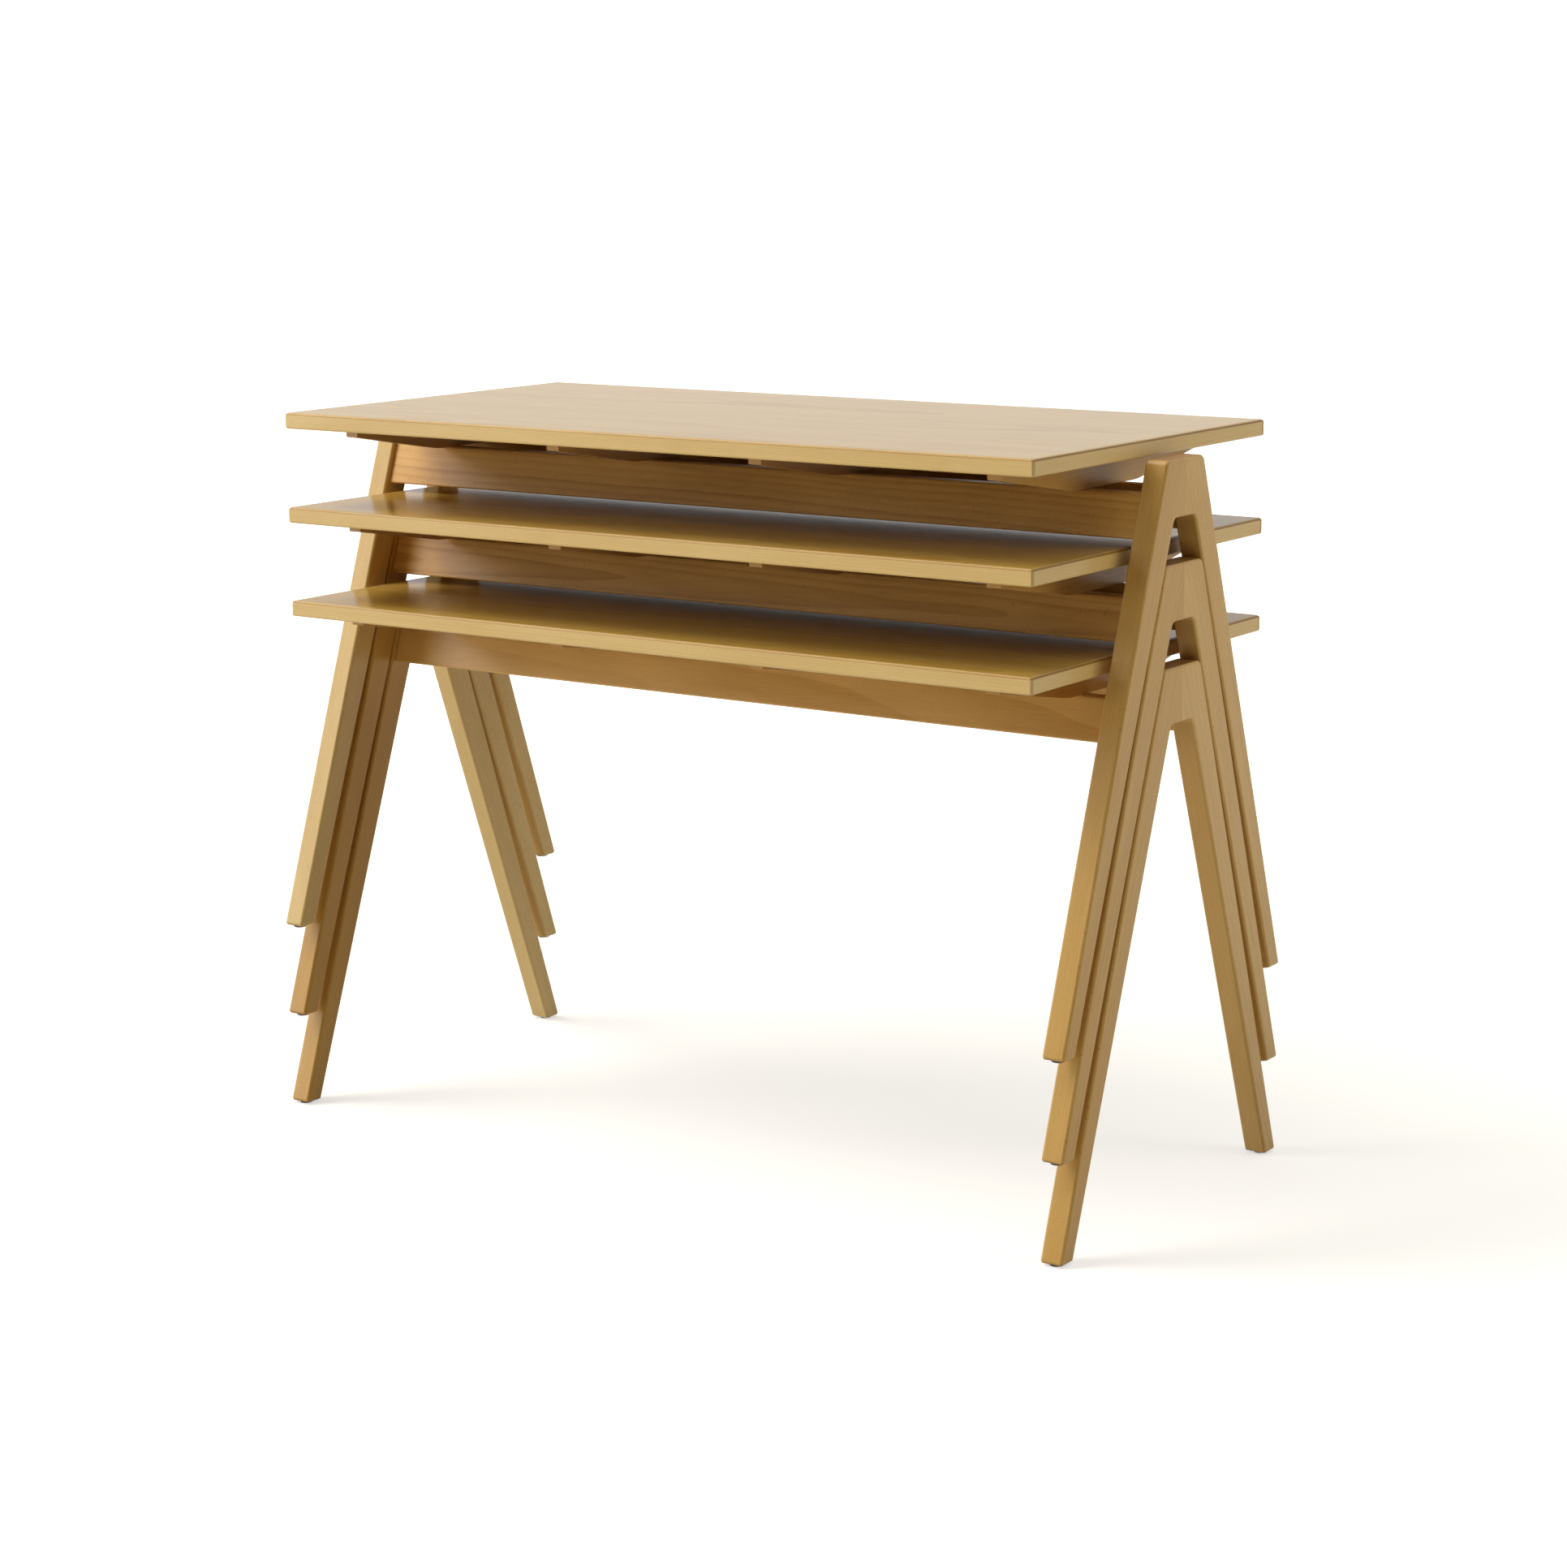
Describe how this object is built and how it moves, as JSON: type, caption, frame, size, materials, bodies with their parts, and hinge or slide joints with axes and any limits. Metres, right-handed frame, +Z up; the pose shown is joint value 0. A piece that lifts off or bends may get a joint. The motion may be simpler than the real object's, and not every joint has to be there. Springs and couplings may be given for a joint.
{
  "type": "stacking trestle table set",
  "caption": "Stack of nested trestle tables with rigid A-shaped end frames, leaning rails and tapered bearers under flat lipped tops; each lifts straight off the one below.",
  "frame": {"origin": "centre of the stack's footprint, on the floor under the lower table's glides", "axes": "+X along the length of the tops towards the right end frames, +Y across their depth to the rear, +Z up"},
  "size_m": [1.29, 0.6, 1.0022],
  "materials": {
    "top_veneer": "satin lacquer",
    "edge_beech": "satin lacquer",
    "bearer_beech": "satin lacquer",
    "rail_beech": "satin lacquer",
    "leg_beech": "satin lacquer",
    "hidden_beech": "bare",
    "screw_steel": "zinc plated",
    "glide_plastic": "matt"
  },
  "bodies": {
    "lower_table": {"lower_top_panel": "top_veneer", "lower_front_lipping": "edge_beech", "lower_rear_lipping": "edge_beech", "lower_left_lipping": "edge_beech", "lower_right_lipping": "edge_beech", "lower_left_outer_bearer": "bearer_beech", "lower_left_inner_bearer": "bearer_beech", "lower_right_inner_bearer": "bearer_beech", "lower_right_outer_bearer": "bearer_beech", "lower_front_rail": "rail_beech", "lower_rear_rail": "rail_beech", "lower_left_front_leg": "leg_beech", "lower_left_rear_leg": "leg_beech", "lower_right_front_leg": "leg_beech", "lower_right_rear_leg": "leg_beech", "lower_head_tongues": "hidden_beech", "lower_bearer_tenons": "hidden_beech", "lower_top_screws": "screw_steel", "lower_foot_glides": "glide_plastic"},
    "middle_table": {"middle_top_panel": "top_veneer", "middle_front_lipping": "edge_beech", "middle_rear_lipping": "edge_beech", "middle_left_lipping": "edge_beech", "middle_right_lipping": "edge_beech", "middle_left_outer_bearer": "bearer_beech", "middle_left_inner_bearer": "bearer_beech", "middle_right_inner_bearer": "bearer_beech", "middle_right_outer_bearer": "bearer_beech", "middle_front_rail": "rail_beech", "middle_rear_rail": "rail_beech", "middle_left_front_leg": "leg_beech", "middle_left_rear_leg": "leg_beech", "middle_right_front_leg": "leg_beech", "middle_right_rear_leg": "leg_beech", "middle_head_tongues": "hidden_beech", "middle_bearer_tenons": "hidden_beech", "middle_top_screws": "screw_steel", "middle_foot_glides": "glide_plastic"},
    "upper_table": {"upper_top_panel": "top_veneer", "upper_front_lipping": "edge_beech", "upper_rear_lipping": "edge_beech", "upper_left_lipping": "edge_beech", "upper_right_lipping": "edge_beech", "upper_left_outer_bearer": "bearer_beech", "upper_left_inner_bearer": "bearer_beech", "upper_right_inner_bearer": "bearer_beech", "upper_right_outer_bearer": "bearer_beech", "upper_front_rail": "rail_beech", "upper_rear_rail": "rail_beech", "upper_left_front_leg": "leg_beech", "upper_left_rear_leg": "leg_beech", "upper_right_front_leg": "leg_beech", "upper_right_rear_leg": "leg_beech", "upper_head_tongues": "hidden_beech", "upper_bearer_tenons": "hidden_beech", "upper_top_screws": "screw_steel", "upper_foot_glides": "glide_plastic"}
  },
  "joints": [
    {"name": "middle_table_lift", "type": "slide", "parent": "lower_table", "child": "middle_table", "axis": [0, 0, 1], "range_m": [0, 0.65]},
    {"name": "upper_table_lift", "type": "slide", "parent": "middle_table", "child": "upper_table", "axis": [0, 0, 1], "range_m": [0, 0.65]}
  ]
}
